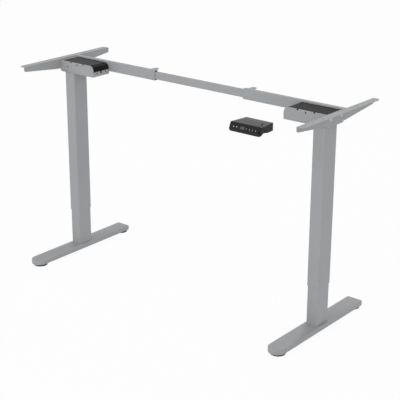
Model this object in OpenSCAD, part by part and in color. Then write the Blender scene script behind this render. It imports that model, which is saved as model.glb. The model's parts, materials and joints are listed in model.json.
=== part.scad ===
// Electric standing desk frame: two telescopic columns on flat feet, joined
// behind their motor housings by one telescopic rail, with a tapered top
// bracket over each column and a push-key handset.
// The origin is on the floor, midway between the columns. X runs along the
// rail, -Y is the side that the user sits at, and +Z is up.

/* [Frame] */
// Distance between the two column axes
column_gap = 1288; // [1180:1:1400]
// Length of lower tube in sight between the foot and the upper tube
tube_show = 161.5; // [40:0.5:300]
// Length of the upper tube below the housing
upper_len = 638; // [600:0.5:700]
// How far the frame can be lowered from this height
lift_down = 150; // [20:1:151]
// How far the frame can be raised from this height
lift_up = 330; // [200:1:330]
// Gap between the two outer rails
rail_gap = 460; // [430:1:500]
// How far each side of the frame can be pushed in
width_in = 200; // [60:1:205]
// How far each side of the frame can be pulled out
width_out = 70; // [30:1:75]

/* [Foot] */
// Reach of the foot in front of the column axis, to its round end
foot_front = 297.5; // [250:0.5:350]
// Reach of the foot behind the column axis, to its straight end
foot_back = 280.5; // [240:0.5:350]
// Width of the foot
foot_w = 70; // [66:1:90]
// Height of the foot pressing
foot_t = 19.5; // [16:0.5:30]
// Gap between the floor and the foot
foot_lift = 10.5; // [10:0.5:20]
// Corner radius at the straight end of the foot, seen from above
foot_r = 8; // [5:0.5:20]
// Thickness of the foot's side walls
foot_wall = 2.5; // [2:0.1:4]
// Thickness of the foot's top
foot_top = 3; // [2:0.1:4]
// Radius of a levelling pad
pad_r = 30; // [20:0.5:31]
// Distance from the straight end of the foot to the middle of a pad
pad_inset = 23; // [16:0.5:60]
// Radius of a levelling pad's threaded stem
stem_r = 4; // [3:0.5:5]

/* [Column] */
// Width of the upper tube, along the rail
upper_w = 55; // [50:1:64]
// Depth of the upper tube, front to back
upper_d = 80; // [74:1:84]
// Corner radius of the upper tube
upper_r = 7; // [5:0.5:9]
// Wall of the upper tube
upper_wall = 1.5; // [1.2:0.1:2]
// Gap between the upper and the lower tube
tube_gap = 1; // [0.8:0.1:1.5]
// Wall of the lower tube
lower_wall = 1.5; // [1.2:0.1:2.5]
// Height of a plastic guide shoe
shoe_h = 60; // [30:1:70]
// Radius of the lifting spindle
spindle_r = 8; // [7:0.5:9]
// Height of the spindle nut
nut_h = 30; // [20:1:40]

/* [Housing] */
// Reach of the motor housing inward from the column axis
house_in = 153; // [148:1:175]
// Reach of the motor housing outward from the column axis
house_out = 46; // [42:1:60]
// Reach of the motor housing in front of the column axis
house_front = 47; // [46:1:60]
// Reach of the motor housing behind the column axis
house_back = 49; // [47:1:60]
// Height of the motor housing
house_h = 48.5; // [47:0.5:60]
// Sheet thickness of the motor housing
house_wall = 2; // [1.5:0.1:2.5]
// Radius of the housing's top inner corner
house_r = 22; // [15:0.5:24]
// Height of the grey end plate below the cover
end_plate_h = 21.5; // [18:0.5:24]
// Depth of the cover below the top edge of the housing
cover_drop = 0.4; // [0.2:0.1:3]
// Wall of the cover
cover_wall = 2; // [1.5:0.1:2.5]
// Width of the cable outlet in the end plate
outlet_w = 9; // [6:0.5:12]

/* [Drive] */
// Radius of the motor can
motor_r = 18.5; // [15:0.5:19]
// Length of the motor can
motor_len = 76; // [50:1:80]
// Root radius of the worm wheel
wheel_r = 14; // [12:0.5:15]
// Number of teeth on the worm wheel
wheel_teeth = 24; // [20:1:36]
// Outer radius of the worm
worm_r = 6; // [5:0.5:7]

/* [Bracket] */
// Length of a top bracket from front to back
bracket_len = 506; // [440:1:640]
// Sheet thickness of a top bracket
bracket_t = 3; // [2.5:0.1:4]
// Rise of a top bracket above the housing
bracket_rise = 4.5; // [3:0.5:8]
// Width of a bracket's top flange
flange_w = 27; // [24:1:40]
// Height of a bracket's web over the column
web_h = 42; // [38:1:50]
// Height of a bracket's web at its ends
web_end_h = 21; // [15:1:30]
// Length of the straight middle part of the web's lower edge
web_mid_len = 120; // [110:1:200]
// Distance between the outer desktop screw holes
hole_far = 450; // [400:1:480]
// Distance between the inner desktop screw holes
hole_near = 220; // [120:1:300]
// Radius of a desktop screw hole
hole_r = 3.25; // [2.5:0.25:4]

/* [Rail] */
// Height of an outer rail
rail_h = 42; // [38:1:46]
// Depth of an outer rail, front to back
rail_d = 20; // [18:1:30]
// Wall of the rails
rail_wall = 2; // [1.5:0.1:2.5]
// Height of the centre rail
mid_h = 31.5; // [26:0.5:33]
// Depth of the centre rail, front to back
mid_d = 14; // [12:0.5:15]
// Length of the guide sleeve in the mouth of an outer rail
sleeve_len = 50; // [40:1:60]
// Length of an end glide of the centre rail
glide_len = 18; // [10:1:25]
// Width of the desktop lug on an outer rail
lug_w = 24; // [18:1:30]
// Reach of the desktop lug behind the rail
lug_reach = 28; // [20:1:35]

/* [Handset] */
// Width of the handset across its front
hand_w = 134; // [124:1:150]
// Width of the handset across its back
hand_back_w = 116; // [100:1:130]
// Depth of the handset, front to back
hand_d = 93; // [88:0.5:105]
// Height of the handset at the back
hand_h = 29; // [27:0.5:34]
// Lean of the handset's front panel
hand_tilt = 24.5; // [15:0.5:35]
// Distance of the handset in front of the column axis
hand_reach = 261.5; // [230:0.5:300]
// Distance of the handset inward from the column axis
hand_in = 104; // [80:1:120]
// Wall of the handset
hand_wall = 2; // [1.6:0.1:2.4]
// Width of a key
key_w = 10; // [8:0.5:10]
// Height of a key
key_h = 12; // [9:0.5:13]
// Radius of the lower corners of the handset's front
nose_r = 11; // [4:0.5:14]

/* [Hidden] */
$fn = 64;

// Shared clearances and the overrun of every cut
over = 1;
slide_clear = 0.05;
seat_clear = 0.1;
free_clear = 0.3;
left = -1;
right = 1;

// Colours
paint = [0.63, 0.64, 0.65];
dark = [0.16, 0.16, 0.17];
zinc = [0.78, 0.79, 0.80];
nylon = [0.86, 0.86, 0.82];
bronze = [0.66, 0.52, 0.30];

// Heights of the levels, from the floor up
column_x = column_gap / 2;
foot_top_z = foot_lift + foot_t;
mouth_z = foot_top_z + tube_show;
house_z = mouth_z + upper_len;
house_top = house_z + house_h;
top_z = house_top + bracket_rise;

// Lower tube, which clears the housing when the frame is right down
lower_w = upper_w - 2 * (upper_wall + tube_gap);
lower_d = upper_d - 2 * (upper_wall + tube_gap);
lower_r = upper_r - upper_wall - tube_gap;
cap_t = 4;
cap_room = 11;
lower_top = house_z - lift_down - cap_room - cap_t;
nut_z = lower_top - nut_h;
base_t = 8;

// Screws that hold the column to the foot
base_screw_r = 3;
base_screw_head_r = 5;
base_screw_head_h = 5;
base_screw_side = 10;
base_screw_end = 12;
base_screw_x = lower_w / 2 - base_screw_side;
base_screw_y = lower_d / 2 - base_screw_end;

// Levelling pads, screwed right in
pad_y = foot_back - pad_inset;
foot_end_y = foot_front - foot_w / 2;
pad_h = foot_lift - free_clear;
pad_edge = 1.5;
boss_wall = 5;
boss_r = stem_r + boss_wall;
boss_gap = 1;
stem_top = foot_top_z - foot_top - free_clear;

// Guide shoes and slide pads between the tubes
shoe_t = tube_gap - slide_clear;
shoe_long = upper_d * 0.5;
shoe_short = upper_w * 0.45;
shoe_inset = 4;

// Drive: the spindle hangs from a worm gear box above the column
casing_in = 24;
casing_h = 38;
casing_back = 34;
wheel_face = 12;
tooth_h = 2;
tooth_w = 1.5;
wheel_room = 1;
gear_rise = 20;
gear_z = house_z + house_wall + gear_rise;
worm_y = wheel_r + tooth_h + worm_r + seat_clear;
worm_len = 24;
worm_groove = 2;
worm_pitch = 4;
worm_groove_w = 2;
shaft_r = 3;
shaft_tail = 20;
shaft_in_motor = 8;
motor_gap = 6;
motor_neck_r = 8;
journal_r = 6;
journal_top = 12;
neck_drop = 1;
spindle_over = 10;
spindle_end = nut_z - lift_up - spindle_over;
floor_hole_clear = 1;
floor_hole_r = spindle_r + floor_hole_clear;

// Cover, clipped between the housing's front and back plates
cover_z = house_top - cover_drop;
lip_w = 12;
clip_w = 5;
notch_w = 7;
notch_h = 5;
clip_x = [-19, -92];
cover_screw_r = 1.6;
cover_screw_head_r = 2.9;
cover_screw_head_h = 1.3;
cover_boss_w = 9;
cover_boss_d = 6;
cover_boss_z = 8.5;
cover_screw_x = -56;
casing_screw_x = 1;
casing_screw_z = 25.5;
end_screw_y = 25;
end_screw_z = 15;
end_tab_w = 11;
end_tab_down = 15;
outlet_h = 10;

// Bracket bolts through the outer wall of the housing
bolt_y = [-43, 27];
bolt_drop = 19;
bolt_r = 3;
bolt_head_r = 4.6;
bolt_head_h = 2.6;
web_end_r = 7;
flange_r = 12;
lower_corner_r = 8;
inner_corner_r = 3;

// Outer rails lie on the back of the housings
rail_y = house_back;
rail_top = top_z;
rail_z = rail_top - rail_h;
rail_in = rail_gap / 2;
rail_corner = 2.5;
mid_corner = 2;
mid_y = rail_y + (rail_d - mid_d) / 2;
mid_z = rail_z + (rail_h - mid_h) / 2;
sleeve_in = 10;
sleeve_x = rail_in + sleeve_in;
glide_stop = 2;
mid_half = sleeve_x + sleeve_len + width_out + glide_stop + glide_len;
tongue_len = 14;
lug_t = 3;
lug_x = rail_in + lug_w;
lug_hole_y = rail_y + rail_d + lug_reach - lug_w / 2;
clamp_x = [12, 38];
clamp_r = 3;
clamp_head_r = 5;
clamp_head_h = 4;
rail_bolt_x = [-40, 25];
rail_bolt_r = 3;
rail_bolt_head_r = 5;
rail_bolt_head_h = 2.5;
rail_bolt_nut_h = 4;

// Handset, hung below the level of the desktop
hand_x = column_x - hand_in;
hand_y = -hand_reach;
panel_t = 2;
panel_len = 32.7;
panel_run = panel_len * sin(hand_tilt);
panel_drop = panel_len * cos(hand_tilt);
// Side outline behind the panel: shares of the depth and of the height
belly_y_shares = [0, 0.40, 0.63, 0.76];
belly_z_shares = [0, 0.02, 0.19, 0.19];
nose_back = 8;
nose_low = 3;
key_zshare = 0.461;
key_z = -panel_len * key_zshare;
key_xshares = [-0.361, -0.263, 0.048, 0.149, 0.242, 0.343];
key_x = [for (s = key_xshares) s * hand_w];
key_flange = 1;
key_flange_t = 1;
key_proud = 0.4;
key_clear = 0.15;
window_xshare = -0.081;
window_x = window_xshare * hand_w;
window_w = 18;
window_h = 9;
board_t = 1.6;
board_gap = 3;
board_w = 112;
board_h = 17;
socket_w = 12;
socket_h = 8;
socket_d = 10;
socket_x = -30;
hang_hole_r = 2.2;
hang_hole_x = -37;
hang_y = 36;
hang_slot_x = 45;
hang_slot_y = 47;
hang_slot_len = 34;
hang_slot_w = 3.4;
hang_slot_turn = 23;

// Placing: everything beside a column is drawn for the right-hand one
module at_column(side) {
    mirror([side < 0 ? 1 : 0, 0, 0]) translate([column_x, 0, 0]) children();
}

// Same, but measured from the middle of the frame
module at_side(side) {
    mirror([side < 0 ? 1 : 0, 0, 0]) children();
}

// Flat rectangle with round corners, centred
module round_rect(w, d, r) {
    union() {
        square([w - 2 * r, d], center = true);
        square([w, d - 2 * r], center = true);
        for (i = [-1, 1], j = [-1, 1])
            translate([i * (w / 2 - r), j * (d / 2 - r)]) circle(r);
    }
}

// Upright bar with that outline
module round_bar(w, d, r, z0, z1) {
    translate([0, 0, z0]) linear_extrude(z1 - z0) round_rect(w, d, r);
}

// Bar along X with that outline, from x0 to x1, its near lower edge at y, z
module rail_bar(x0, x1, y, z, d, h, r) {
    translate([x0, y + d / 2, z + h / 2]) rotate([0, 90, 0])
        linear_extrude(x1 - x0) round_rect(h, d, r);
}

// Cylinder along X, and along Y
module rod_x(x0, x1, y, z, r) {
    translate([x0, y, z]) rotate([0, 90, 0]) cylinder(h = x1 - x0, r = r);
}

module rod_y(y0, y1, x, z, r) {
    translate([x, y0, z]) rotate([-90, 0, 0]) cylinder(h = y1 - y0, r = r);
}

// Upright cylinder
module rod_z(z0, z1, x, y, r) {
    translate([x, y, z0]) cylinder(h = z1 - z0, r = r);
}

// Block between two corners
module block(a, b) {
    translate(a) cube(b - a);
}

// Outline of the foot seen from above, drawn in by the given wall
module foot_outline(wall) {
    half = foot_w / 2 - wall;
    r = foot_r - wall;
    union() {
        translate([0, -foot_end_y]) circle(half);
        translate([-half, -foot_end_y])
            square([2 * half, foot_end_y + foot_back - foot_r]);
        translate([-half + r, foot_back - foot_r]) square([2 * half - 2 * r, r]);
        for (i = [-1, 1]) translate([i * (half - r), foot_back - foot_r]) circle(r);
    }
}

// Foot: a pressing open underneath, with a threaded boss for each pad
module foot(side) {
    color(paint) at_column(side) difference() {
        union() {
            difference() {
                translate([0, 0, foot_lift]) linear_extrude(foot_t) foot_outline(0);
                translate([0, 0, foot_lift - over])
                    linear_extrude(foot_t - foot_top + over) foot_outline(foot_wall);
            }
            for (j = [-1, 1])
                rod_z(foot_lift + boss_gap, foot_top_z - foot_top / 2, 0, j * pad_y, boss_r);
        }
        for (j = [-1, 1])
            rod_z(foot_lift - over, foot_top_z - foot_top, 0, j * pad_y, stem_r + slide_clear);
        for (i = [-1, 1], j = [-1, 1])
            rod_z(foot_lift, foot_top_z + over, i * base_screw_x, j * base_screw_y,
                base_screw_r + free_clear);
    }
}

// Levelling pad with its stem
module level_pad(side, j) {
    color(dark) at_column(side) translate([0, j * pad_y, 0]) rotate_extrude() {
        square([pad_r - pad_edge, pad_h]);
        translate([0, pad_edge]) square([pad_r, pad_h - 2 * pad_edge]);
        translate([pad_r - pad_edge, pad_edge]) intersection() {
            circle(pad_edge);
            translate([0, -pad_edge]) square([pad_edge, pad_edge]);
        }
        translate([pad_r - pad_edge, pad_h - pad_edge]) intersection() {
            circle(pad_edge);
            square([pad_edge, pad_edge]);
        }
        square([stem_r, stem_top]);
    }
}

// Screws from below the foot into the foot plate of the lower tube
module foot_screws(side) {
    color(zinc) at_column(side) for (i = [-1, 1], j = [-1, 1])
        translate([i * base_screw_x, j * base_screw_y, 0]) difference() {
            union() {
                rod_z(foot_top_z - foot_top - base_screw_head_h, foot_top_z - foot_top,
                    0, 0, base_screw_head_r);
                rod_z(foot_top_z - foot_top - base_screw_head_h / 2, foot_top_z + base_t,
                    0, 0, base_screw_r);
            }
            translate([0, 0, foot_top_z - foot_top - base_screw_head_h - over])
                cylinder(h = base_screw_head_h / 2 + over, r = base_screw_r, $fn = 6);
        }
}

// Lower tube with its welded foot plate
module lower_tube(side) {
    color(paint) at_column(side) difference() {
        round_bar(lower_w, lower_d, lower_r, foot_top_z, lower_top);
        round_bar(lower_w - 2 * lower_wall, lower_d - 2 * lower_wall, lower_r - lower_wall,
            foot_top_z + base_t, lower_top + over);
        for (i = [-1, 1], j = [-1, 1])
            rod_z(foot_top_z - over, foot_top_z + base_t + over, i * base_screw_x,
                j * base_screw_y, base_screw_r);
    }
}

// Spindle nut, plugged into the top of the lower tube
module spindle_nut(side) {
    color(nylon) at_column(side) difference() {
        union() {
            round_bar(lower_w - 2 * lower_wall, lower_d - 2 * lower_wall,
                lower_r - lower_wall, nut_z, lower_top + over);
            round_bar(lower_w, lower_d, lower_r, lower_top, lower_top + cap_t);
        }
        rod_z(nut_z - over, lower_top + cap_t + over, 0, 0, spindle_r + slide_clear);
    }
}

// Four thin plastic slips round a tube; face is the tube face they lie on
module slips(w, d, z0) {
    for (i = [-1, 1]) {
        translate([i * (w + shoe_t) / 2, 0, z0 + shoe_h / 2])
            cube([shoe_t, shoe_long, shoe_h], center = true);
        translate([0, i * (d + shoe_t) / 2, z0 + shoe_h / 2])
            cube([shoe_short, shoe_t, shoe_h], center = true);
    }
}

// Slips on the top of the lower tube, which slide in the upper tube
module slide_pads(side) {
    color(nylon) at_column(side) slips(lower_w, lower_d, lower_top - shoe_h - shoe_inset);
}

// Slips in the mouth of the upper tube, which slide on the lower tube
module guide_shoes(side) {
    color(nylon) at_column(side) slips(upper_w - 2 * upper_wall - 2 * shoe_t,
        upper_d - 2 * upper_wall - 2 * shoe_t, mouth_z + shoe_inset);
}

// Upper tube, welded to the floor of the housing
module upper_tube(side) {
    color(paint) at_column(side) difference() {
        round_bar(upper_w, upper_d, upper_r, mouth_z, house_z);
        round_bar(upper_w - 2 * upper_wall, upper_d - 2 * upper_wall,
            upper_r - upper_wall, mouth_z - over, house_z + over);
    }
}

// Side outline of the housing, in X and Z from its lower inner corner
module house_outline() {
    w = house_in + house_out;
    difference() {
        square([w, house_h]);
        translate([0, house_h - house_r]) difference() {
            translate([-over, 0]) square([house_r + over, house_r + over]);
            translate([house_r, 0]) circle(house_r);
            translate([house_r, -over]) square([over, house_r + 2 * over]);
        }
        difference() {
            translate([-over, -over])
                square([inner_corner_r + over, inner_corner_r + over]);
            translate([inner_corner_r, inner_corner_r]) circle(inner_corner_r);
        }
        difference() {
            translate([w - lower_corner_r, -over])
                square([lower_corner_r + over, lower_corner_r + over]);
            translate([w - lower_corner_r, lower_corner_r]) circle(lower_corner_r);
        }
    }
}

// Motor housing: a folded tray with an open top, closed by the cover
module housing(side) {
    color(paint) at_column(side) difference() {
        union() {
            difference() {
                translate([-house_in, house_back, house_z]) rotate([90, 0, 0])
                    linear_extrude(house_front + house_back) house_outline();
                block([-house_in + house_wall, -house_front + house_wall, house_z + house_wall],
                    [house_out - house_wall, house_back - house_wall, house_top + over]);
                block([-house_in - over, -house_front + house_wall, house_z + end_plate_h],
                    [-house_in + house_wall + over, house_back - house_wall, house_top + over]);
            }
            block([house_out - lip_w, -house_front + house_wall, cover_z - house_wall],
                [house_out - house_wall, house_back - house_wall, cover_z]);
        }
        for (x = clip_x)
            block([x - notch_w / 2, -house_front - over, house_top - notch_h],
                [x + notch_w / 2, -house_front + house_wall + over, house_top + over]);
        rod_y(-house_front - over, -house_front + house_wall + over, cover_screw_x,
            house_top - cover_boss_z, cover_screw_r + seat_clear);
        rod_y(-house_front - over, -house_front + house_wall + over, casing_screw_x,
            house_z + casing_screw_z, cover_screw_r + seat_clear);
        for (j = [-1, 1])
            rod_x(-house_in - over, -house_in + house_wall + over, j * end_screw_y,
                house_z + end_screw_z, cover_screw_r + seat_clear);
        block([-house_in - over, -outlet_w / 2, house_z + end_plate_h - outlet_h],
            [-house_in + house_wall + over, outlet_w / 2, house_z + end_plate_h + over]);
        for (y = bolt_y)
            rod_x(house_out - house_wall - over, house_out + over, y, top_z - bolt_drop,
                bolt_r);
        for (x = rail_bolt_x)
            rod_y(house_back - house_wall - over, house_back + over, x, rail_z + rail_h / 2,
                rail_bolt_r + seat_clear);
        rod_z(house_z - over, house_z + house_wall + over, 0, 0, floor_hole_r);
    }
}

// Cover: flat on top, then a quarter round down to the end plate
module cover(side) {
    y0 = -house_front + house_wall + seat_clear;
    y1 = house_back - house_wall - seat_clear;
    x1 = house_out - lip_w - seat_clear;
    low = house_z + end_plate_h + seat_clear;
    color(dark) at_column(side) difference() {
        union() {
            block([-house_in + house_r, y0, cover_z - cover_wall], [x1, y1, cover_z]);
            translate([-house_in + house_r, y1, cover_z - house_r]) rotate([90, 0, 0])
                linear_extrude(y1 - y0) intersection() {
                    difference() {
                        circle(house_r);
                        circle(house_r - cover_wall);
                    }
                    translate([-house_r, 0]) square([house_r, house_r]);
                }
            block([-house_in, y0, low], [-house_in + cover_wall, y1, cover_z - house_r]);
            for (x = clip_x)
                block([x - clip_w / 2, -house_front, house_top - notch_h + seat_clear],
                    [x + clip_w / 2, y0 + over, cover_z]);
            block([cover_screw_x - cover_boss_w / 2, y0,
                    house_top - cover_boss_z - cover_boss_w / 2],
                [cover_screw_x + cover_boss_w / 2, y0 + cover_boss_d, cover_z - cover_wall / 2]);
            for (j = [-1, 1]) {
                block([-house_in + house_wall + seat_clear, j * end_screw_y - end_tab_w / 2,
                        low - end_tab_down],
                    [-house_in + house_wall + seat_clear + cover_wall,
                        j * end_screw_y + end_tab_w / 2, cover_z - house_r]);
                block([-house_in + cover_wall / 2, j * end_screw_y - end_tab_w / 2, low],
                    [-house_in + house_wall + seat_clear + cover_wall,
                        j * end_screw_y + end_tab_w / 2, low + cover_wall]);
            }
        }
        rod_y(-house_front, y0 + cover_boss_d + over, cover_screw_x,
            house_top - cover_boss_z, cover_screw_r);
        for (j = [-1, 1])
            rod_x(-house_in - over, -house_in + house_wall + cover_wall + over,
                j * end_screw_y, house_z + end_screw_z, cover_screw_r);
    }
}

// Small black screws in the front plate and in the end plate
module cover_screws(side) {
    color(dark) at_column(side) {
        for (s = [[cover_screw_x, house_top - cover_boss_z],
                [casing_screw_x, house_z + casing_screw_z]]) {
            rod_y(-house_front - cover_screw_head_h, -house_front, s[0], s[1],
                cover_screw_head_r);
            rod_y(-house_front - cover_screw_head_h / 2,
                -house_front + house_wall + cover_boss_d, s[0], s[1], cover_screw_r);
        }
        for (j = [-1, 1]) {
            rod_x(-house_in - cover_screw_head_h, -house_in, j * end_screw_y,
                house_z + end_screw_z, cover_screw_head_r);
            rod_x(-house_in - cover_screw_head_h / 2, -house_in + house_wall + cover_wall,
                j * end_screw_y, house_z + end_screw_z, cover_screw_r);
        }
    }
}

// Top bracket: a tapered web with a flange turned outward
module bracket(side) {
    half = bracket_len / 2;
    color(paint) at_column(side) difference() {
        union() {
            translate([house_out, 0, top_z]) rotate([90, 0, 90]) linear_extrude(bracket_t)
                difference() {
                    polygon([[-half, 0], [-half, -web_end_h], [-web_mid_len / 2, -web_h],
                        [web_mid_len / 2, -web_h], [half, -web_end_h], [half, 0]]);
                    for (j = [-1, 1]) scale([j, 1]) difference() {
                        translate([half - web_end_r, -web_end_h - over])
                            square([web_end_r + over, web_end_r + over]);
                        translate([half - web_end_r, -web_end_h + web_end_r])
                            circle(web_end_r);
                    }
                }
            translate([house_out, -half, top_z - bracket_t]) linear_extrude(bracket_t)
                difference() {
                    square([bracket_t + flange_w, bracket_len]);
                    for (y = [flange_r, bracket_len - flange_r]) difference() {
                        translate([bracket_t + flange_w - flange_r,
                            y < half ? -over : y])
                            square([flange_r + over, flange_r + over]);
                        translate([bracket_t + flange_w - flange_r, y]) circle(flange_r);
                    }
                }
        }
        for (y = bolt_y)
            rod_x(house_out - over, house_out + bracket_t + over, y, top_z - bolt_drop,
                bolt_r + seat_clear);
        for (j = [-1, 1], gap = [hole_far, hole_near])
            rod_z(top_z - bracket_t - over, top_z + over,
                house_out + bracket_t + flange_w / 2, j * gap / 2, hole_r);
    }
}

// Bolts through the bracket into the tapped end plate of the housing
module bracket_bolts(side) {
    outer = house_out + bracket_t;
    color(zinc) at_column(side) for (y = bolt_y) difference() {
        union() {
            rod_x(outer, outer + bolt_head_h, y, top_z - bolt_drop, bolt_head_r);
            rod_x(house_out - house_wall, outer + bolt_head_h / 2, y, top_z - bolt_drop,
                bolt_r);
        }
        translate([outer + bolt_head_h / 2, y, top_z - bolt_drop]) rotate([0, 90, 0])
            cylinder(h = bolt_head_h, r = bolt_r * 0.7, $fn = 6);
    }
}

// Outer rail with its desktop lug
module outer_rail(side) {
    far = column_x + house_out;
    color(paint) at_side(side) difference() {
        union() {
            rail_bar(rail_in, far, rail_y, rail_z, rail_d, rail_h, rail_corner);
            translate([lug_x, 0, top_z - lug_t]) linear_extrude(lug_t) union() {
                translate([-lug_w / 2, rail_y + rail_d - rail_corner])
                    square([lug_w, lug_reach - lug_w / 2 + rail_corner]);
                translate([0, lug_hole_y]) circle(lug_w / 2);
            }
        }
        rail_bar(rail_in - over, far + over, rail_y + rail_wall, rail_z + rail_wall,
            rail_d - 2 * rail_wall, rail_h - 2 * rail_wall, rail_corner - rail_wall);
        rod_z(top_z - lug_t - over, top_z + over, lug_x, lug_hole_y, hole_r);
        for (x = clamp_x)
            rod_y(rail_y + rail_d - rail_wall - over, rail_y + rail_d + over, sleeve_x + x,
                rail_z + rail_h / 2, clamp_r);
        for (x = rail_bolt_x)
            rod_y(rail_y - over, rail_y + rail_wall + over, column_x + x,
                rail_z + rail_h / 2, rail_bolt_r);
    }
}

// Plastic sleeve that steers the centre rail
module rail_sleeve(side) {
    color(nylon) at_side(side) difference() {
        rail_bar(sleeve_x, sleeve_x + sleeve_len, rail_y + rail_wall, rail_z + rail_wall,
            rail_d - 2 * rail_wall, rail_h - 2 * rail_wall, rail_corner - rail_wall);
        rail_bar(sleeve_x - over, sleeve_x + sleeve_len + over, mid_y - slide_clear,
            mid_z - slide_clear, mid_d + 2 * slide_clear, mid_h + 2 * slide_clear,
            mid_corner + slide_clear);
        for (x = clamp_x)
            rod_y(mid_y + mid_d, rail_y + rail_d, sleeve_x + x, rail_z + rail_h / 2,
                clamp_r);
    }
}

// Clamping screws at the back, and the bolts that hold the rail to the housing
module rail_screws(side) {
    back = rail_y + rail_d;
    front = rail_y - house_wall;
    z = rail_z + rail_h / 2;
    color(zinc) at_side(side) {
        for (x = clamp_x) difference() {
            union() {
                rod_y(back, back + clamp_head_h, sleeve_x + x, z, clamp_head_r);
                rod_y(mid_y + mid_d + free_clear, back + clamp_head_h / 2, sleeve_x + x, z,
                    clamp_r);
            }
            translate([sleeve_x + x, back + clamp_head_h / 2, z]) rotate([-90, 0, 0])
                cylinder(h = clamp_head_h, r = clamp_r * 0.8, $fn = 6);
        }
        for (x = rail_bolt_x) union() {
            rod_y(front - rail_bolt_head_h, front, column_x + x, z, rail_bolt_head_r);
            rod_y(front - rail_bolt_head_h / 2, rail_y + rail_wall + rail_bolt_nut_h,
                column_x + x, z, rail_bolt_r);
            rod_y(rail_y + rail_wall, rail_y + rail_wall + rail_bolt_nut_h, column_x + x, z,
                rail_bolt_head_r);
        }
    }
}

// Centre rail, which slides in both outer rails
module centre_rail() {
    color(paint) difference() {
        rail_bar(-mid_half, mid_half, mid_y, mid_z, mid_d, mid_h, mid_corner);
        rail_bar(-mid_half - over, mid_half + over, mid_y + rail_wall, mid_z + rail_wall,
            mid_d - 2 * rail_wall, mid_h - 2 * rail_wall, mid_corner / 2);
    }
}

// Plastic glides plugged into the ends of the centre rail
module centre_rail_glides() {
    inside = rail_wall + slide_clear;
    color(nylon) for (side = [left, right]) at_side(side) union() {
        rail_bar(mid_half, mid_half + glide_len, rail_y + inside, rail_z + inside,
            rail_d - 2 * inside, rail_h - 2 * inside, rail_corner - rail_wall);
        rail_bar(mid_half - tongue_len, mid_half + over, mid_y + rail_wall,
            mid_z + rail_wall, mid_d - 2 * rail_wall, mid_h - 2 * rail_wall,
            mid_corner / 2);
    }
}

// Electric motor, lying along the rail
module motor(side) {
    x1 = -casing_in - motor_gap;
    x0 = x1 - motor_len;
    z = gear_z;
    color(zinc) at_column(side) difference() {
        union() {
            rod_x(x0, x1, worm_y, z, motor_r);
            rod_x(x1 - over, -casing_in, worm_y, z, motor_neck_r);
            rod_x(x0 - motor_gap, x0 + over, worm_y, z, motor_neck_r);
        }
        rod_x(x1 - shaft_in_motor, -casing_in + over, worm_y, z, shaft_r + slide_clear);
    }
}

// Casing of the worm gear, standing on the floor of the housing
module gear_casing(side) {
    z0 = house_z + house_wall;
    reach = wheel_r + tooth_h + wheel_room;
    color(zinc) at_column(side) difference() {
        block([-casing_in, -house_front + house_wall + seat_clear, z0],
            [casing_in, casing_back, z0 + casing_h]);
        rod_z(gear_z - wheel_face / 2 - wheel_room, gear_z + wheel_face / 2 + wheel_room,
            0, 0, reach);
        rod_z(z0 - over, z0 + casing_h + over, 0, 0, journal_r + slide_clear);
        rod_x(-worm_len / 2 - wheel_room, worm_len / 2 + wheel_room, worm_y, gear_z,
            worm_r + wheel_room);
        rod_x(-casing_in - over, shaft_tail + over, worm_y, gear_z, shaft_r + slide_clear);
        rod_y(-house_front, -house_front + house_wall + cover_boss_d + over,
            casing_screw_x, house_z + casing_screw_z, cover_screw_r);
    }
}

// Lifting spindle: a plain rod at the outer radius of its thread
module spindle(side) {
    color(zinc) at_column(side) union() {
        rod_z(spindle_end, house_z + house_wall - neck_drop, 0, 0, spindle_r);
        rod_z(house_z, gear_z + wheel_face / 2 + journal_top, 0, 0, journal_r);
    }
}

// Worm wheel on the top of the spindle
module worm_wheel(side) {
    color(bronze) at_column(side) difference() {
        union() {
            rod_z(gear_z - wheel_face / 2, gear_z + wheel_face / 2, 0, 0, wheel_r);
            for (k = [0:wheel_teeth - 1]) rotate([0, 0, k * 360 / wheel_teeth])
                translate([wheel_r - tooth_h / 2, -tooth_w / 2, gear_z - wheel_face / 2])
                    cube([tooth_h * 1.5 - seat_clear / 2, tooth_w, wheel_face]);
        }
        rod_z(gear_z - wheel_face, gear_z + wheel_face, 0, 0, journal_r);
    }
}

// Motor shaft with its worm
module worm_shaft(side) {
    turns = floor((worm_len - worm_groove_w) / worm_pitch);
    color(zinc) at_column(side) translate([0, worm_y, gear_z]) rotate([0, 90, 0])
        rotate_extrude() difference() {
            union() {
                translate([0, -casing_in - motor_gap - shaft_in_motor + seat_clear])
                    square([shaft_r, casing_in + motor_gap + shaft_in_motor + shaft_tail
                        - seat_clear]);
                translate([0, -worm_len / 2]) square([worm_r, worm_len]);
            }
            for (k = [0:turns - 1])
                translate([worm_r - worm_groove,
                    (k - turns / 2 + 0.5) * worm_pitch - worm_groove_w / 2])
                    square([worm_groove + over, worm_groove_w]);
        }
}

// Handset placing: the top edge of the front panel, leaning forward below
module at_hand() {
    translate([hand_x, hand_y, top_z]) children();
}

module at_panel() {
    at_hand() translate([0, -hand_d + panel_run, 0]) rotate([-hand_tilt, 0, 0]) children();
}

// Front outline of the handset in its panel's own plane, drawn in by a wall
module nose_outline(wall) {
    half = hand_w / 2 - wall;
    r = nose_r - wall;
    low = -panel_len + wall;
    union() {
        translate([-half, low + r]) square([2 * half, hand_d]);
        translate([-half + r, low]) square([2 * half - 2 * r, r]);
        for (i = [-1, 1]) translate([i * (half - r), low + r]) circle(r);
    }
}

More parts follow.
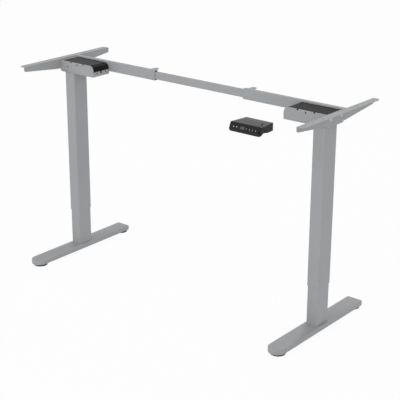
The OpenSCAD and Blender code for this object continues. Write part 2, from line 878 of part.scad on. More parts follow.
// Solid form of the handset, drawn in by the given wall
module hand_form(wall) {
    back = -wall;
    front = -hand_d + panel_run;
    skew = wall / cos(hand_tilt);
    low = -panel_drop;
    floor_z = [for (s = belly_z_shares) -hand_h * (1 - s) + wall];
    half_f = hand_w / 2 - wall;
    half_b = hand_back_w / 2 - wall;
    intersection() {
        translate([0, 0, -hand_h * 2]) linear_extrude(hand_h * 2) polygon([
            [-half_b, back], [half_b, back], [half_f, front],
            [half_f, -hand_d * 2], [-half_f, -hand_d * 2], [-half_f, front]]);
        translate([-hand_w, 0, 0]) rotate([90, 0, 90]) linear_extrude(hand_w * 2) polygon([
            [back, -wall], [back, floor_z[0]], [-hand_d * belly_y_shares[1], floor_z[1]],
            [-hand_d * belly_y_shares[2], floor_z[2]],
            [-hand_d * belly_y_shares[3], floor_z[3]],
            [-hand_d + nose_back + skew, low - nose_low + wall],
            [-hand_d + skew - wall * sin(hand_tilt), low + wall],
            [front + skew - wall * sin(hand_tilt), -wall]]);
        translate([0, front, 0]) rotate([90 - hand_tilt, 0, 0])
            translate([0, 0, -hand_d * 2]) linear_extrude(hand_d * 3) nose_outline(wall);
    }
}

// Handset shell, open at the front for its panel
module handset_shell() {
    color(dark) difference() {
        at_hand() difference() {
            hand_form(0);
            hand_form(hand_wall);
        }
        at_panel() block([-hand_w, -hand_d, -hand_h * 2], [hand_w, panel_t + seat_clear, hand_h]);
        at_hand() block([socket_x - socket_w / 2, -socket_d, -hand_h / 2 - socket_h / 2],
            [socket_x + socket_w / 2, over, -hand_h / 2 + socket_h / 2]);
        at_hand() rod_z(-hand_wall - over, over, hang_hole_x, -hang_y, hang_hole_r);
        at_hand() translate([hang_slot_x, -hang_slot_y, -hand_wall - over])
            rotate([0, 0, hang_slot_turn]) linear_extrude(hand_wall + 2 * over)
                round_rect(hang_slot_w, hang_slot_len, hang_slot_w / 2 - seat_clear);
    }
}

// Front panel with an opening for each key and for the display
module handset_panel() {
    color(dark) at_panel() difference() {
        translate([0, panel_t, 0]) rotate([90, 0, 0]) linear_extrude(panel_t)
            intersection() {
                nose_outline(0);
                translate([-hand_w / 2, -panel_len]) square([hand_w, panel_len]);
            }
        for (x = key_x)
            block([x - key_w / 2 - key_clear, -over, key_z - key_h / 2 - key_clear],
                [x + key_w / 2 + key_clear, panel_t + over, key_z + key_h / 2 + key_clear]);
        block([window_x - window_w / 2, -over, key_z - window_h / 2],
            [window_x + window_w / 2, panel_t + over, key_z + window_h / 2]);
    }
}

// Display window, standing on the circuit board
module handset_display() {
    color([0.25, 0.27, 0.22]) at_panel()
        block([window_x - window_w / 2, panel_t / 4, key_z - window_h / 2],
            [window_x + window_w / 2, panel_t + board_gap, key_z + window_h / 2]);
}

// Circuit board behind the keys
module handset_board() {
    color([0.10, 0.32, 0.18]) at_panel()
        block([-board_w / 2, panel_t + board_gap, key_z - board_h / 2],
            [board_w / 2, panel_t + board_gap + board_t, key_z + board_h / 2]);
}

// Key with the flange that holds it behind the panel
module key(k) {
    x = key_x[k];
    color(dark) at_panel() union() {
        block([x - key_w / 2, -key_proud, key_z - key_h / 2],
            [x + key_w / 2, panel_t + seat_clear + key_flange_t, key_z + key_h / 2]);
        block([x - key_w / 2 - key_flange, panel_t + seat_clear, key_z - key_h / 2 - key_flange],
            [x + key_w / 2 + key_flange, panel_t + seat_clear + key_flange_t,
                key_z + key_h / 2 + key_flange]);
    }
}

foot(left);  // left_foot
lower_tube(left);  // left_lower_tube
spindle_nut(left);  // left_spindle_nut
slide_pads(left);  // left_slide_pads
foot_screws(left);  // left_foot_screws
level_pad(left, -1);  // left_front_pad
level_pad(left, 1);  // left_back_pad
upper_tube(left);  // left_upper_tube
guide_shoes(left);  // left_guide_shoes
housing(left);  // left_housing
cover(left);  // left_cover
cover_screws(left);  // left_cover_screws
bracket(left);  // left_bracket
bracket_bolts(left);  // left_bracket_bolts
outer_rail(left);  // left_outer_rail
rail_sleeve(left);  // left_rail_sleeve
rail_screws(left);  // left_rail_screws
motor(left);  // left_motor
gear_casing(left);  // left_gear_casing
spindle(left);  // left_spindle
worm_wheel(left);  // left_worm_wheel
worm_shaft(left);  // left_worm_shaft
centre_rail();
centre_rail_glides();
foot(right);  // right_foot
lower_tube(right);  // right_lower_tube
spindle_nut(right);  // right_spindle_nut
slide_pads(right);  // right_slide_pads
foot_screws(right);  // right_foot_screws
level_pad(right, -1);  // right_front_pad
level_pad(right, 1);  // right_back_pad
upper_tube(right);  // right_upper_tube
guide_shoes(right);  // right_guide_shoes
housing(right);  // right_housing
cover(right);  // right_cover
cover_screws(right);  // right_cover_screws
bracket(right);  // right_bracket
bracket_bolts(right);  // right_bracket_bolts
outer_rail(right);  // right_outer_rail
rail_sleeve(right);  // right_rail_sleeve
rail_screws(right);  // right_rail_screws
motor(right);  // right_motor
gear_casing(right);  // right_gear_casing
spindle(right);  // right_spindle
worm_wheel(right);  // right_worm_wheel
worm_shaft(right);  // right_worm_shaft
handset_shell();
handset_panel();
handset_display();
handset_board();
key(0);  // key_up
key(1);  // key_down
key(2);  // key_one
key(3);  // key_two
key(4);  // key_three
key(5);  // key_four
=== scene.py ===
import bpy, bmesh, json, math
from mathutils import Vector, Matrix


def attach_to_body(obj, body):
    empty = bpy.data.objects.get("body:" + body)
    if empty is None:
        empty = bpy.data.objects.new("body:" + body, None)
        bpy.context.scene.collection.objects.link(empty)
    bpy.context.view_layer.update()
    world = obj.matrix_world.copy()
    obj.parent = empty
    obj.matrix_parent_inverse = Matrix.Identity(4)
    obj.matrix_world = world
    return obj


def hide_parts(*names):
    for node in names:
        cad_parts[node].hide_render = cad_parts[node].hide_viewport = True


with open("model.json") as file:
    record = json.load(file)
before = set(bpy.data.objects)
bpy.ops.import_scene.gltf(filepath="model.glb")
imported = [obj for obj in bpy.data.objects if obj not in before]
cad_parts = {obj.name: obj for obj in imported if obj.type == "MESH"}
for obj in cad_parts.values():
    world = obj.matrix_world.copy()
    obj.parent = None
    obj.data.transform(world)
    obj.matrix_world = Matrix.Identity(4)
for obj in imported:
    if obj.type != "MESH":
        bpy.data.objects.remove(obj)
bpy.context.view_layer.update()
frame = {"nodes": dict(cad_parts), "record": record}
nodes = frame["nodes"]
record = frame["record"]
bodyOf = {n: b for b, ns in record["behaviour"]["bodies"].items() for n in ns}
slotOf = {s["node"]: s["material_slot"] for s in record["subparts"]}
sides = {"left": -1, "right": 1}  # which way each side lies along x
same = 1e-5  # two places closer than this are one, in metres
print("desk frame loaded:", len(nodes), "nodes")


def addObject(name, data):
    obj = bpy.data.objects.new(name, data)
    bpy.context.scene.collection.objects.link(obj)
    return obj


# stands a camera or lamp at a place, looking along a direction
def aimAlong(obj, place, direction):
    obj.location = place
    obj.rotation_mode = "QUATERNION"
    obj.rotation_quaternion = direction.to_track_quat("-Z", "Y")


# the photograph's view
cameraSettings = {
    "place": (2.7109, -3.2342, 1.9338),
    "turn": 39.924,  # degrees round the frame from the front
    "tilt": 19.798,  # degrees down
    "lens": 98.0,
    "sensor": 36.0,
    "shiftX": 0.0242,
    "shiftY": -0.0189,
    "farthest": 60.0,
}


def makeCamera(s):
    data = bpy.data.cameras.new("photoCamera")
    camera = addObject("photoCamera", data)
    turn, tilt = math.radians(s["turn"]), math.radians(s["tilt"])
    ahead = Vector((-math.sin(turn) * math.cos(tilt), math.cos(turn) * math.cos(tilt), -math.sin(tilt)))
    aimAlong(camera, s["place"], ahead)
    data.lens = s["lens"]
    data.sensor_width = s["sensor"]
    data.shift_x = s["shiftX"]
    data.shift_y = s["shiftY"]
    data.clip_end = s["farthest"]
    bpy.context.scene.camera = camera


makeCamera(cameraSettings)
bpy.context.scene.view_settings.view_transform = "Standard"
print("camera ready")


# one socket of a tree, so that sums on sockets are written as sums
class Val:
    def __init__(self, graph, socket):
        self.graph, self.socket = graph, socket

    def calc(self, operation, other):
        return self.graph.node("ShaderNodeMath", {"operation": operation}, {0: self, 1: other})[0]

    def __add__(self, other):
        return self.calc("ADD", other)

    def __mul__(self, other):
        return self.calc("MULTIPLY", other)

    __radd__, __rmul__ = __add__, __mul__


class Graph:
    def __init__(self, tree):
        self.tree = tree

    # a list as a value holds all that goes into one socket
    def node(self, kind, settings=None, values=None):
        n = self.tree.nodes.new(kind)
        for key, setting in (settings or {}).items():
            setattr(n, key, setting)
        for key, value in (values or {}).items():
            for single in value if isinstance(value, list) else [value]:
                if isinstance(single, Val):
                    self.tree.links.new(single.socket, n.inputs[key])
                else:
                    n.inputs[key].default_value = single
        return [Val(self, o) for o in n.outputs]

    # 1 for a ray of one of these kinds
    def rayIs(self, *kinds):
        path = self.tree.nodes.new("ShaderNodeLightPath")
        seen, *others = [Val(self, path.outputs["Is " + kind + " Ray"]) for kind in kinds]
        for other in others:
            seen = seen.calc("MAXIMUM", other)
        return seen


class Mat(Graph):
    def __init__(self, name):
        self.data = bpy.data.materials.new(name)
        self.data.use_nodes = True
        super().__init__(self.data.node_tree)
        self.tree.nodes.clear()

    # object coordinates, drawn out along an axis where marks run that way
    def place(self, scale=(1, 1, 1)):
        spot = self.node("ShaderNodeTexCoord")[3]
        return self.node("ShaderNodeMapping", {}, {"Vector": spot, "Scale": scale})[0]

    def noise(self, where, scale, detail=2.0, rough=0.5):
        return self.node("ShaderNodeTexNoise", {"noise_dimensions": "3D"}, {
            "Vector": where, "Scale": scale, "Detail": detail, "Roughness": rough})[0]

    # a noise's middle range stretched from low to high
    def spread(self, value, low=0.0, high=1.0, fromLow=0.3, fromHigh=0.7):
        return self.node("ShaderNodeMapRange", {}, {
            "Value": value, "From Min": fromLow, "From Max": fromHigh, "To Min": low, "To Max": high})[0]

    def mixColour(self, factor, a, b):
        return self.node("ShaderNodeMix", {"data_type": "RGBA"}, {0: factor, 6: rgb(*a), 7: rgb(*b)})[2]

    def bump(self, height, strength, distance):
        return self.node("ShaderNodeBump", {}, {
            "Height": height, "Strength": strength, "Distance": distance})[0]

    def close(self, shader):
        self.node("ShaderNodeOutputMaterial", {}, {0: shader})
        return self.data

    def principled(self, values):
        return self.close(self.node("ShaderNodeBsdfPrincipled", {}, values)[0])


def rgb(*colour):
    return (*colour, 1.0)


def tint(colour, share):
    return tuple(min(1, c * share) for c in colour)


# light grey powder coat: fine orange peel over an even satin colour
powderSettings = {
    "cloud": 9.0, "peel": 1500.0, "broadPeel": 330.0,  # noise scales
    "deep": 0.975, "light": 1.02,  # how far the colour drifts
    "rough": (0.37, 0.48), "shine": 0.28,
    "peelShare": 0.55, "broadShare": 0.45, "bump": 0.35, "depth": 0.00006,
}


def powderCoat(name, colour, s):
    m = Mat(name)
    where = m.place()
    cloud = m.noise(where, s["cloud"], 3.0)
    peel = m.noise(where, s["peel"], 2.0, 0.6)
    broadPeel = m.noise(where, s["broadPeel"], 1.0)
    height = peel * s["peelShare"] + broadPeel * s["broadShare"]
    return m.principled({
        "Base Color": m.mixColour(m.spread(cloud), tint(colour, s["deep"]), tint(colour, s["light"])),
        "Roughness": m.spread(peel, *s["rough"]), "Specular IOR Level": s["shine"],
        "Normal": m.bump(height, s["bump"], s["depth"])})


# moulded plastic with a spark-eroded grain
plasticSettings = {"cloud": 30.0, "smoother": 0.07, "rougher": 0.08, "bump": 0.5}


def mouldedPlastic(name, colour, grain=2200.0, depth=0.00003, rough=0.45, lift=1.25, shine=0.5):
    s = plasticSettings
    m = Mat(name)
    where = m.place()
    marks = m.noise(where, grain, 3.0, 0.65)
    cloud = m.noise(where, s["cloud"], 2.0)
    return m.principled({
        "Base Color": m.mixColour(m.spread(cloud), colour, tint(colour, lift)),
        "Roughness": m.spread(marks, rough - s["smoother"], rough + s["rougher"]),
        "Specular IOR Level": shine, "Normal": m.bump(marks, s["bump"], depth)})


# plated or machined metal, with fine marks drawn along one direction
metalSettings = {"stain": 60.0, "deep": 0.9, "smoother": 0.08, "rougher": 0.1, "bump": 0.3}


def workedMetal(name, colour, stretch=(1, 1, 1), marks=900.0, rough=0.3, depth=0.00002):
    s = metalSettings
    m = Mat(name)
    line = m.noise(m.place(stretch), marks, 3.0, 0.6)
    stain = m.noise(m.place(), s["stain"], 3.0)
    return m.principled({
        "Base Color": m.mixColour(m.spread(stain), tint(colour, s["deep"]), colour), "Metallic": 1.0,
        "Roughness": m.spread(line, rough - s["smoother"], rough + s["rougher"]),
        "Normal": m.bump(line, s["bump"], depth)})


# smoked window with the grey glass of a display that is switched off
windowSettings = {
    "haze": 120.0, "deep": (0.088, 0.089, 0.078), "light": (0.104, 0.105, 0.092),
    "rough": (0.24, 0.32), "shine": 0.12, "bump": 0.05, "depth": 0.00002,
}


def displayWindow(name, s):
    m = Mat(name)
    haze = m.noise(m.place(), s["haze"], 2.0)
    return m.principled({
        "Base Color": m.mixColour(m.spread(haze), s["deep"], s["light"]),
        "Roughness": m.spread(haze, *s["rough"]), "Specular IOR Level": s["shine"],
        "Normal": m.bump(haze, s["bump"], s["depth"])})


inkSettings = {
    "speck": 4000.0, "deep": (0.62, 0.63, 0.62), "light": (0.72, 0.73, 0.72),
    "rough": (0.45, 0.6), "bump": 0.2, "depth": 0.00001,
}


def printedInk(name, s):
    m = Mat(name)
    speck = m.noise(m.place(), s["speck"], 2.0)
    return m.principled({
        "Base Color": m.mixColour(m.spread(speck), s["deep"], s["light"]),
        "Roughness": m.spread(speck, *s["rough"]), "Normal": m.bump(speck, s["bump"], s["depth"])})


finishes = {
    "steel": powderCoat("satinGreyPowderCoat", (0.356, 0.363, 0.374), powderSettings),
    "cover_plastic": mouldedPlastic("coverBlack", (0.015, 0.015, 0.0155), grain=1600.0,
                                    depth=0.00004, rough=0.24, shine=0.013),
    "pad_plastic": mouldedPlastic("padBlack", (0.010, 0.010, 0.011), grain=1800.0,
                                  depth=0.00004, rough=0.5, shine=0.3),
    # shinier copy of the handset plastic, which also paints a sheen on the shell's top
    "handset_plastic": mouldedPlastic("handsetBlack", (0.010, 0.010, 0.0096), grain=2400.0,
                                      rough=0.34, shine=0.20),
    # the front panel's finish, also used as a duller copy that paints shade on the shell's front and sides
    "handset_front_and_shaded_sides": mouldedPlastic("handsetFrontAndShadedSidesBlack", (0.012, 0.012, 0.012), grain=2400.0,
                                    shine=0.14),
    "key_plastic": mouldedPlastic("keyBlack", (0.010, 0.010, 0.010), grain=2600.0,
                                  depth=0.00002, rough=0.40, shine=0.12),
    "display_glass": displayWindow("displaySmoke", windowSettings),
    "board": mouldedPlastic("boardGreen", (0.02, 0.11, 0.04), grain=900.0,
                            depth=0.00002, rough=0.35),
    "nylon": mouldedPlastic("naturalNylon", (0.62, 0.62, 0.57), grain=1200.0, lift=1.05),
    "nylon_dark": mouldedPlastic("blackNylon", (0.022, 0.022, 0.023), grain=1200.0),
    "zinc": workedMetal("zincPlate", (0.55, 0.56, 0.58)),
    "bolt_steel": workedMetal("brightZinc", (0.74, 0.74, 0.75), rough=0.24),
    "black_screw": workedMetal("blackZinc", (0.05, 0.05, 0.052), rough=0.4),
    "spindle_steel": workedMetal("turnedSteel", (0.50, 0.51, 0.52), stretch=(1, 1, 12),
                                 marks=500.0, rough=0.28),
    "motor_can": workedMetal("motorCan", (0.48, 0.49, 0.50), stretch=(12, 1, 1),
                             marks=500.0, rough=0.34),
    "die_cast": workedMetal("dieCast", (0.52, 0.52, 0.53), marks=700.0, rough=0.5, depth=0.00008),
    "bronze": workedMetal("machinedBronze", (0.60, 0.40, 0.18), marks=800.0, rough=0.32),
    "ink": printedInk("keyInk", inkSettings),
}
print("finishes ready:", len(finishes))


meshSettings = {
    "merge": 2e-6, "flat": 0.6,  # corners closer, in metres, and faces flatter, in degrees, are one
    "corner": 40,  # an edge sharper than this may be rounded, in degrees
    "nodeSharp": 32, "pieceSharp": 40, "fastenerSharp": 30, "signSharp": 20,  # shading breaks here
}


def finish(obj, slot):
    obj.data.materials.clear()
    obj.data.materials.append(finishes[slot])


def shade(mesh, sharp):
    mesh.shade_smooth()
    mesh.set_sharp_from_angle(angle=math.radians(meshSettings[sharp]))


for name, obj in nodes.items():
    finish(obj, slotOf[name])
    shade(obj.data, "nodeSharp")


def newPiece(pieceName, mesh, sharp="pieceSharp"):
    shade(mesh, sharp)
    return addObject(pieceName, mesh)


# hands a finished mesh to the frame: body, replaced node and finish
def attach(obj, body, slotName, look=None, instead=None):
    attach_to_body(obj, body)
    if instead:
        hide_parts(instead)
    finish(obj, look or slotName)
    return obj


# a CAD node's triangles as a merged copy with whole faces
def looseCopy(name, s):
    bm = bmesh.new()
    bm.from_mesh(nodes[name].data)
    bmesh.ops.remove_doubles(bm, verts=bm.verts, dist=s["merge"])
    bmesh.ops.dissolve_limit(bm, angle_limit=math.radians(s["flat"]), verts=bm.verts, edges=bm.edges)
    bm.normal_update()
    return bm


# copy of a node with its sharp edges rounded where both ends pass the test
def roundEdges(name, width, test, segments=3, look=None):
    bm = looseCopy(name, meshSettings)
    sharp = math.radians(meshSettings["corner"])
    edges = [e for e in bm.edges if len(e.link_faces) == 2 and e.calc_face_angle(0) > sharp
             and all(test(v.co) for v in e.verts)]
    bmesh.ops.bevel(bm, geom=edges, offset=width, offset_type="OFFSET", segments=segments,
                    profile=0.5, affect="EDGES", clamp_overlap=False, loop_slide=True)
    bmesh.ops.triangulate(bm, faces=[f for f in bm.faces if len(f.verts) > 4])
    mesh = bpy.data.meshes.new(name + "_rounded")
    bm.to_mesh(mesh)
    bm.free()
    return attach(newPiece(name + "_rounded", mesh), bodyOf[name], slotOf[name], look, name)


# the feet are deep-drawn, so their top edge is a bend and not a corner
footSettings = {
    "bend": 0.003, "segments": 4,
    "column": 0.644, "topZ": 0.030, "width": 0.070, "front": -0.2975, "back": 0.2805,
    "cornerReach": 0.0085, "arcReach": 2e-4, "edgeReach": 1e-4,  # how near the rim a corner lies
}


def makeFeet(s):
    half = s["width"] / 2
    flat = s["front"] + half  # the front end is a half circle up to here
    for side, way in sides.items():
        def onRim(p):
            x, y = abs(p.x - s["column"] * way), p.y
            if abs(p.z - s["topZ"]) > same:
                return False
            onArc = abs(math.hypot(x, y - flat) - half) < s["arcReach"] and y < flat + s["edgeReach"]
            onEdge = x > half - s["edgeReach"] or y > s["back"] - s["edgeReach"]
            onCorner = y > s["back"] - s["cornerReach"] and x > half - s["cornerReach"]
            return onArc or onEdge or onCorner

        roundEdges(side + "_foot", s["bend"], onRim, s["segments"])


makeFeet(footSettings)
print("feet ready")


# the housing is folded up from sheet: its lower front edge is a bend
housingSettings = {"bend": 0.0015, "bottomZ": 0.8295, "front": -0.047}


def makeHousings(s):
    def onBend(p):
        return abs(p.z - s["bottomZ"]) < same and p.y < s["front"] + same

    for side in sides:
        roundEdges(side + "_housing", s["bend"], onBend)


makeHousings(housingSettings)
print("housings ready")


# screws and bolts, one tree for each kind of drive, with shares of the head's own sizes
fastenerSettings = {
    "headSides": 36, "shankSides": 24,
    "rim": 0.6, "crown": 0.4, "crownWidth": 0.82,  # straight rim, then a narrower crown
    "slot": 0.26,  # width of a cross's arm over its length
    "corner": 0.577,  # corner radius of a hexagon over its width
    "fullTurn": 6.283, "seed": 7,  # each head is turned at random
}
fastenerInputs = ("Head Radius", "Head Height", "Shank Radius", "Shank Length",
                  "Drive Width", "Drive Depth")


def fastenerTree(name, drive, s):
    tree = bpy.data.node_groups.new(name, "GeometryNodeTree")
    sockets = [("Geometry", "Geometry")] + [(label, "Float") for label in fastenerInputs]
    for label, kind in sockets + [("Finish", "Material")]:
        tree.interface.new_socket(label, in_out="INPUT", socket_type="NodeSocket" + kind)
    tree.interface.new_socket("Geometry", in_out="OUTPUT", socket_type="NodeSocketGeometry")
    g = Graph(tree)
    given = g.node("NodeGroupInput")
    spots, (headR, headH, shankR, shankL, wide, deep), look = given[0], given[1:7], given[7]

    def lift(shape, z):
        up = g.node("ShaderNodeCombineXYZ", {}, {"Z": z})[0]
        return g.node("GeometryNodeTransform", {}, {"Geometry": shape, "Translation": up})[0]

    def drum(count, radius, depth):
        return g.node("GeometryNodeMeshCylinder", {}, {
            "Vertices": count, "Radius": radius, "Depth": depth})

    rim = drum(s["headSides"], headR, headH * s["rim"])
    crown = g.node("GeometryNodeExtrudeMesh", {"mode": "FACES"}, {
        "Mesh": rim[0], "Selection": rim[1], "Offset Scale": headH * s["crown"], "Individual": False})
    head = g.node("GeometryNodeScaleElements", {}, {
        "Geometry": crown[0], "Selection": crown[1], "Scale": s["crownWidth"]})[0]
    if drive == "hex":
        tools = [drum(6, wide * s["corner"], deep * 2.0)[0]]
    else:
        slim = wide * s["slot"]
        tools = []
        for x, y in ((wide, slim), (slim, wide)):
            size = g.node("ShaderNodeCombineXYZ", {}, {"X": x, "Y": y, "Z": deep * 2.0})[0]
            tools.append(g.node("GeometryNodeMeshCube", {}, {"Size": size})[0])
    head = g.node("GeometryNodeMeshBoolean", {"operation": "DIFFERENCE", "solver": "EXACT"}, {
        "Mesh 1": lift(head, headH * (s["rim"] / 2)), "Mesh 2": [lift(tool, headH) for tool in tools]})[0]
    shank = lift(drum(s["shankSides"], shankR, shankL)[0], shankL * -0.5)
    whole = g.node("GeometryNodeJoinGeometry", {}, {0: [head, shank]})[0]

    aim = g.node("GeometryNodeInputNamedAttribute", {"data_type": "FLOAT_VECTOR"}, {"Name": "aim"})[0]
    stand = g.node("FunctionNodeAlignRotationToVector", {"axis": "Z"}, {"Vector": aim})[0]
    rows = g.node("GeometryNodeInstanceOnPoints", {}, {
        "Points": spots, "Instance": whole, "Rotation": stand})[0]
    spin = g.node("FunctionNodeRandomValue", {"data_type": "FLOAT"}, {
        2: 0.0, 3: s["fullTurn"], "Seed": s["seed"]})[1]
    spun = g.node("ShaderNodeCombineXYZ", {}, {"Z": spin})[0]
    rows = g.node("GeometryNodeRotateInstances", {}, {"Instances": rows, "Rotation": spun})[0]
    plain = g.node("GeometryNodeRealizeInstances", {}, {"Geometry": rows})[0]
    done = g.node("GeometryNodeSetMaterial", {}, {"Geometry": plain, "Material": look})[0]
    g.node("NodeGroupOutput", {}, {0: done})
    return tree


drives = {
    "cross": fastenerTree("crossScrews", "cross", fastenerSettings),
    "hex": fastenerTree("socketScrews", "hex", fastenerSettings),
}


# new_from_object on an object that is then removed again
def plainMesh(obj):
    shown = obj.evaluated_get(bpy.context.evaluated_depsgraph_get())
    mesh = bpy.data.meshes.new_from_object(shown)
    bpy.data.objects.remove(obj)
    return mesh


# replaces a node by detailed fasteners; spots are pairs of place and direction of the head
def fasteners(node, drive, sizes, look, spots):
    mesh = bpy.data.meshes.new(node + "_detail")
    mesh.from_pydata([place for place, facing in spots], [], [])
    aim = mesh.attributes.new("aim", "FLOAT_VECTOR", "POINT")
    for i, (place, facing) in enumerate(spots):
        aim.data[i].vector = facing
    obj = addObject(node + "_detail", mesh)
    rows = obj.modifiers.new("rows", "NODES")
    rows.node_group = drives[drive]
    for item in drives[drive].interface.items_tree:
        if item.in_out == "INPUT" and item.name in sizes:
            rows[item.identifier] = sizes[item.name]
        elif item.in_out == "INPUT" and item.name == "Finish":
            rows[item.identifier] = finishes[look]
    piece = newPiece(node + "_detail", plainMesh(obj), "fastenerSharp")
    attach(piece, bodyOf[node], slotOf[node], instead=node)


coverScrewSettings = {
    "column": 0.644, "front": -0.047, "end": -0.153,
    "frontSpots": ((-0.056, 0.8695), (0.001, 0.855)),  # x from the column and z
    "endSpots": ((-0.025, 0.8445), (0.025, 0.8445)),  # y and z
    "sizes": {"Head Radius": 0.0029, "Head Height": 0.0013, "Shank Radius": 0.0016,
              "Shank Length": 0.0038, "Drive Width": 0.0032, "Drive Depth": 0.0008},
}
boltSettings = {
    "column": 0.644, "outer": 0.049, "z": 0.8635, "ys": (-0.043, 0.027),
    "sizes": {"Head Radius": 0.0046, "Head Height": 0.0026, "Shank Radius": 0.003,
              "Shank Length": 0.005, "Drive Width": 0.0042, "Drive Depth": 0.0015},
}


def makeScrews(cover, bolt):
    for side, way in sides.items():
        endX, boltX = cover["column"] + cover["end"], bolt["column"] + bolt["outer"]
        spots = [((way * (cover["column"] + x), cover["front"], z), (0, -1, 0))
                 for x, z in cover["frontSpots"]]
        spots += [((way * endX, y, z), (-way, 0, 0)) for y, z in cover["endSpots"]]
        fasteners(side + "_cover_screws", "cross", cover["sizes"], "black_screw", spots)
        spots = [((way * boltX, y, bolt["z"]), (way, 0, 0)) for y in bolt["ys"]]
        fasteners(side + "_bracket_bolts", "hex", bolt["sizes"], "bolt_steel", spots)


makeScrews(coverScrewSettings, boltSettings)
print("screws ready")


# handset: everything is laid out in the plane of its leaning front panel
handsetSettings = {
    "place": (0.540, -0.2615, 0.8825),  # middle of the back edge of its top
    "depth": 0.093, "width": 0.134, "backWidth": 0.116,
    "panel": 0.0327, "lean": 24.5,  # the panel's height along its slope, and its slope in degrees
    "topRound": 0.0014, "frontRound": 0.0007, "keyRound": 0.0003,
    "topReach": 3e-4, "sideReach": 0.0115, "upperReach": 0.004, "lowerReach": 0.0035,  # rim widths
    "paintedSheenBand": 0.002, "paintedSheenFacing": 0.7,  # faces this near the top and this upright get the smoother, shinier plastic, a painted sheen on the top
    "keySegments": 2, "keyZ": -0.015075, "proud": 0.0004,
}
signSettings = {
    "ink": 0.00006, "number": 0.0055, "arrow": 0.0048,  # thickness and heights
    "textScale": 1.38,  # text size over the height of its numbers
    "wing": 0.9, "neck": 0.1, "stem": 0.32,  # an arrow's shares of half its height
    "merge": 1e-6,
}
# each key's place over the handset's width, and its sign
keys = {
    "key_up": (-0.361, "up"), "key_down": (-0.263, "down"), "key_one": (0.048, "1"),
    "key_two": (0.149, "2"), "key_three": (0.242, "3"), "key_four": (0.343, "4"),
}


def panelFrame(s):
    lean = math.radians(s["lean"])
    x, y, z = s["place"]
    at = Matrix.Translation((x, y - s["depth"] + s["panel"] * math.sin(lean), z))
    return at @ Matrix.Rotation(-lean, 4, "X")


# flat arrow in the xz plane, drawn about its middle
def arrowMesh(sign, s):
    k = s["arrow"] / 2 * (1 if sign == "up" else -1)
    wing, neck, stem = s["wing"] * k, -s["neck"] * k, s["stem"] * k
    outline = ((-wing, neck), (-stem, neck), (-stem, -k), (stem, -k), (stem, neck), (wing, neck), (0, k))
    bm = bmesh.new()
    face = bm.faces.new([bm.verts.new((x, 0, z)) for x, z in outline])
    bmesh.ops.triangulate(bm, faces=[face])
    mesh = bpy.data.meshes.new("sign_" + sign)
    bm.to_mesh(mesh)
    bm.free()
    return mesh


# flat number in the xz plane, moved to its middle
def numberMesh(sign, s):
    text = bpy.data.curves.new("sign_" + sign, "FONT")
    text.body = sign
    text.size = s["number"] * s["textScale"]
    mesh = plainMesh(addObject("sign_" + sign, text))
    xs = [v.co.x for v in mesh.vertices]
    ys = [v.co.y for v in mesh.vertices]
    middle = Vector(((min(xs) + max(xs)) / 2, (min(ys) + max(ys)) / 2, 0))
    mesh.transform(Matrix.Rotation(math.radians(90), 4, "X") @ Matrix.Translation(-middle))
    return mesh


# gives a flat sign the thickness of its ink, with its front towards -y
def thicken(mesh, s):
    bm = bmesh.new()
    bm.from_mesh(mesh)
    bmesh.ops.remove_doubles(bm, verts=bm.verts, dist=s["merge"])
    bm.normal_update()
    if sum(f.normal.y * f.calc_area() for f in bm.faces) > 0:
        bmesh.ops.reverse_faces(bm, faces=bm.faces)
    grown = bmesh.ops.extrude_face_region(bm, geom=bm.faces[:])["geom"]
    back = [v for v in grown if isinstance(v, bmesh.types.BMVert)]
    bmesh.ops.translate(bm, vec=(0, s["ink"], 0), verts=back)
    bmesh.ops.recalc_face_normals(bm, faces=bm.faces)
    bm.to_mesh(mesh)
    bm.free()


def makeHandset(s, sign):
    panel = panelFrame(s)
    inverse = panel.inverted()
    frontY = panel.translation.y
    hx, hy, hz = s["place"]

    def onTopRim(p):
        if abs(p.z - hz) > same:
            return False
        share = min(1, max(0, (hy - p.y) / (hy - frontY)))
        half = (s["backWidth"] + (s["width"] - s["backWidth"]) * share) / 2
        return abs(p.x - hx) > half - s["topReach"] or p.y > hy - same

    def onFrontRim(p):
        q = inverse @ p
        onSide = abs(q.x) > s["width"] / 2 - s["sideReach"]
        return abs(q.y) < same and (onSide or q.z > -s["upperReach"] or q.z < s["lowerReach"] - s["panel"])

    def onKeyFace(p):
        return (inverse @ p).y < same - s["proud"]

    shell = roundEdges("handset_shell", s["topRound"], onTopRim)
    shell.data.materials.append(finishes["handset_front_and_shaded_sides"])  # duller copy all round below the top: painted shade on the front and sides
    # top faces take the shinier copy and all others the duller one: a painted sheen on the top and painted
    # shade on the front and sides
    for face in shell.data.polygons:
        paintedSheenTop = face.normal.z > s["paintedSheenFacing"] and face.center.z > hz - s["paintedSheenBand"]
        face.material_index = 0 if paintedSheenTop else 1

    roundEdges("handset_panel", s["frontRound"], onFrontRim, look="handset_front_and_shaded_sides")

    for name, (share, label) in keys.items():
        roundEdges(name, s["keyRound"], onKeyFace, s["keySegments"])
        mesh = (arrowMesh if label in ("up", "down") else numberMesh)(label, sign)
        thicken(mesh, sign)
        spot = (share * s["width"], -s["proud"] - sign["ink"], s["keyZ"])
        mesh.transform(panel @ Matrix.Translation(spot))
        attach(newPiece(name + "_sign", mesh, "signSharp"), bodyOf[name], "key_plastic", "ink")


makeHandset(handsetSettings, signSettings)
print("handset ready")


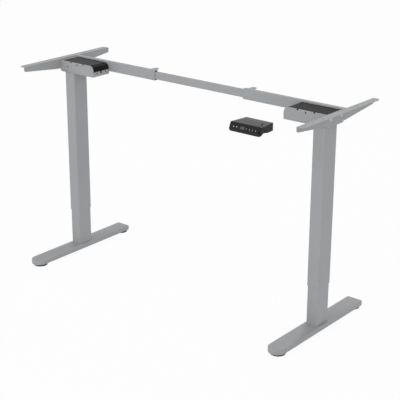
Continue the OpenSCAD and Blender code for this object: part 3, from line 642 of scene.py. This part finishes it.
# floor, white surroundings and soft lamps
stageSettings = {
    "floorSize": 40.0, "floorZ": -0.0002,
    "floorDeep": (0.88, 0.88, 0.88), "floorLight": (0.90, 0.90, 0.90),
    "shadow": 0.05,  # how much of the floor's own light shows
    "skyLight": 0.58,  # 1 is white
    "lampsLookAt": (0, 0, 0.45),
    "lamps": {
        "keyLight": {"place": (-1.5, -5.0, 2.7), "size": 3.5, "power": 90.0},
        "fillLight": {"place": (10.0, -3.6, 3.0), "size": 5.0, "power": 198.0},
        "bandLight": {"place": (-0.6, 3.2, 4.2), "size": 0.7, "power": 34.0},
    },
}


def makeFloor(s):
    bpy.ops.mesh.primitive_plane_add(size=s["floorSize"], location=(0, 0, s["floorZ"]))
    floor = bpy.context.object
    floor.name = "floor"
    m = Mat("paleFloor")
    drift = m.spread(m.noise(m.place(), 3.0, 2.0))
    plain = m.node("ShaderNodeBsdfDiffuse", {}, {
        "Color": m.mixColour(drift, s["floorDeep"], s["floorLight"])})[0]
    glow = m.node("ShaderNodeEmission", {}, {"Color": rgb(1, 1, 1), "Strength": 1.0})[0]
    share = m.rayIs("Camera", "Glossy") * (1 - s["shadow"])
    floor.data.materials.append(m.close(m.node("ShaderNodeMixShader", {}, {0: share, 1: plain, 2: glow})[0]))


def makeRoom(s):
    world = bpy.data.worlds.new("softRoom")
    bpy.context.scene.world = world
    world.use_nodes = True
    room = Graph(world.node_tree)
    room.tree.nodes.clear()
    sky = room.node("ShaderNodeBackground", {}, {0: rgb(1, 1, 1), 1: s["skyLight"]})[0]
    white = room.node("ShaderNodeBackground", {}, {0: rgb(1, 1, 1), 1: 1.0})[0]
    seen = room.rayIs("Camera", "Transmission", "Glossy")
    mixed = room.node("ShaderNodeMixShader", {}, {0: seen, 1: sky, 2: white})[0]
    room.node("ShaderNodeOutputWorld", {}, {0: mixed})


def makeLamps(s):
    for name, lamp in s["lamps"].items():
        data = bpy.data.lights.new(name, "AREA")
        data.energy = lamp["power"]
        data.size = lamp["size"]
        aimAlong(addObject(name, data), lamp["place"], Vector(s["lampsLookAt"]) - Vector(lamp["place"]))


makeFloor(stageSettings)
makeRoom(stageSettings)
makeLamps(stageSettings)
print("floor and light ready")
